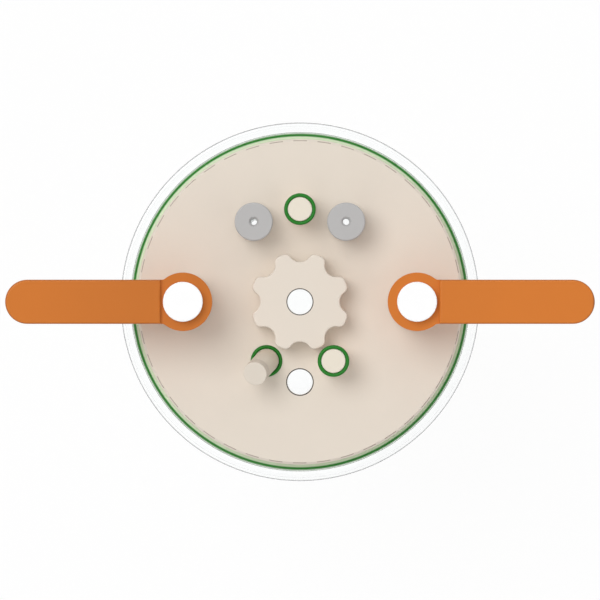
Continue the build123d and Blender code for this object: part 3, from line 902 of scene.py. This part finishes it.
# Arm screws and washers
screw_profile = with_rows(
    rounded(
        [
            (0, SCREW_TIP, 0),
            (SCREW_THREAD_R - SCREW_TIP_EDGE, SCREW_TIP, SOFT),
            (SCREW_THREAD_R, SCREW_TIP + SCREW_TIP_EDGE, SOFT),
            (SCREW_THREAD_R, LID_TOP, CRISP),
            (SCREW_SHOULDER_R, LID_TOP, SOFT),
            (SCREW_SHOULDER_R, SCREW_HEAD_FOOT, SOFT),
            (SCREW_HEAD_R, SCREW_HEAD_FOOT, SOFT),
            (SCREW_HEAD_R, SCREW_HEAD_TOP, SCREW_HEAD_CUT),
            (0, SCREW_HEAD_TOP, 0),
        ],
        loop=False,
    ),
    SCREW_PITCH / 6,
)
screw_thread_foot = SCREW_TIP + SCREW_TIP_EDGE
screw_reach = threaded(
    screw_profile,
    SCREW_THREAD_R,
    screw_thread_foot,
    SCREW_THREAD_TOP,
    SCREW_PITCH,
    SCREW_THREAD,
    SCREW_COLUMNS,
)
washer_profile = rounded(
    [
        (WASHER_BORE_R, LID_TOP + WASHER_T, SOFT),
        (WASHER_BORE_R, LID_TOP, SOFT),
        (WASHER_R, LID_TOP, SOFT),
        (WASHER_R, LID_TOP + WASHER_T, SOFT),
    ]
)
for side, way in (("left", -1), ("right", 1)):
    pivot = (way * ARM_PITCH_R, 0, 0)
    screw_grid = turned(screw_profile, pivot, columns=SCREW_COLUMNS, reach=screw_reach)
    screw = skin(f"shoulder_screw_{side}", screw_grid, screw_plastic, loop=False)
    fit(screw, "lid_set", "screw_plastic", f"arm_screw_{side}")
    washer = skin(f"slide_washer_{side}", turned(washer_profile, pivot), washer_plastic)
    fit(washer, "lid_set", "washer_plastic", f"arm_washer_{side}")

# Floor: pale, and nearly as bright as the background, so that the object's shadow stays faint
FLOOR_GLOW = 0.95
FLOOR_COLOUR = (0.9, 0.9, 0.9)
FLOOR_ROUGHNESS = 0.9
FLOOR_HALF = 4000
FLOOR_Z = -0.2


def seen_directly(tree):
    """1 for a ray from the camera, off a mirror or through glass, otherwise 0."""
    path = tree.nodes.new("ShaderNodeLightPath").outputs
    either = reckon(tree, "MAXIMUM", path["Is Camera Ray"], path["Is Glossy Ray"])
    return reckon(tree, "MAXIMUM", either, path["Is Transmission Ray"])


floor_mesh = bpy.data.meshes.new("floor")
floor_corners = np.array(((-1, -1), (1, -1), (1, 1), (-1, 1))) * FLOOR_HALF
floor_points = np.column_stack((floor_corners, np.full(4, FLOOR_Z))) * MM
floor_mesh.from_pydata(floor_points.tolist(), [], [(0, 1, 2, 3)])
floor = add_object("floor", floor_mesh)
floor_finish, floor_tree, floor_shader, _ = new_finish("pale_floor", FLOOR_COLOUR, FLOOR_ROUGHNESS)
floor_shader.inputs["Specular IOR Level"].default_value = 0.0
glow = floor_tree.nodes.new("ShaderNodeEmission")
glow_share = reckon(floor_tree, "MULTIPLY", seen_directly(floor_tree), FLOOR_GLOW)
floor_surface = blend_shaders(
    floor_tree, glow_share, floor_shader.outputs["BSDF"], glow.outputs["Emission"]
)
floor_tree.links.new(floor_surface, floor_tree.nodes["Material Output"].inputs["Surface"])
floor_mesh.materials.append(floor_finish)

# Light: a white surround that lights softly, one broad lamp from the upper left, and three wide
# lamps without shadows for the sides
AMBIENT = 0.29
KEY_FROM = (-0.393, 0.296, 0.87)
KEY_STRENGTH = 1.35
KEY_SPREAD = 36.0
FILLS_FROM = ((-0.5, -0.6, 0.62), (0.72, -0.3, 0.62), (0.1, 0.78, 0.62))
FILL_STRENGTH = 0.57
FILL_SPREAD = 60.0

world = bpy.data.worlds.new("white_surround")
world.use_nodes = True
bpy.context.scene.world = world
surround = world.node_tree
ambient = surround.nodes["Background"]
ambient.inputs["Color"].default_value = (1, 1, 1, 1)
ambient.inputs["Strength"].default_value = AMBIENT
backdrop = surround.nodes.new("ShaderNodeBackground")
backdrop.inputs["Color"].default_value = (1, 1, 1, 1)
surround_surface = blend_shaders(
    surround, seen_directly(surround), ambient.outputs["Background"], backdrop.outputs["Background"]
)
surround.links.new(surround_surface, surround.nodes["World Output"].inputs["Surface"])


def add_lamp(name, towards, strength, spread, shadow=True):
    """Far lamp that lights the object from a direction, as wide as its spread in degrees."""
    data = bpy.data.lights.new(name, "SUN")
    data.energy = strength
    data.angle = math.radians(spread)
    data.use_shadow = shadow
    lamp = add_object(name, data)
    lamp.rotation_mode = "QUATERNION"
    lamp.rotation_quaternion = Vector(towards).to_track_quat("Z", "Y")


add_lamp("broad_key", KEY_FROM, KEY_STRENGTH, KEY_SPREAD)
for index, towards in enumerate(FILLS_FROM):
    add_lamp(f"fill_{index}", towards, FILL_STRENGTH, FILL_SPREAD, shadow=False)

# Camera: straight above, so far off that the view is nearly parallel. At the height FRAMED_Z the
# picture is FRAME_WIDTH wide. CLIP_END is in metres.
SENSOR = 36.0
LENS = 1500.0
FRAME_WIDTH = 150.75
FRAMED_Z = 100.0
CLIP_END = 20.0
CAMERA_X, CAMERA_Y = 0.01, 0.45

camera_data = bpy.data.cameras.new("overhead")
camera_data.sensor_width = SENSOR
camera_data.lens = LENS
camera_data.clip_end = CLIP_END
camera = add_object("overhead", camera_data)
camera_height = FRAMED_Z + FRAME_WIDTH * LENS / SENSOR
camera.location = (CAMERA_X * MM, CAMERA_Y * MM, camera_height * MM)
bpy.context.scene.camera = camera
bpy.context.scene.view_settings.view_transform = "Standard"
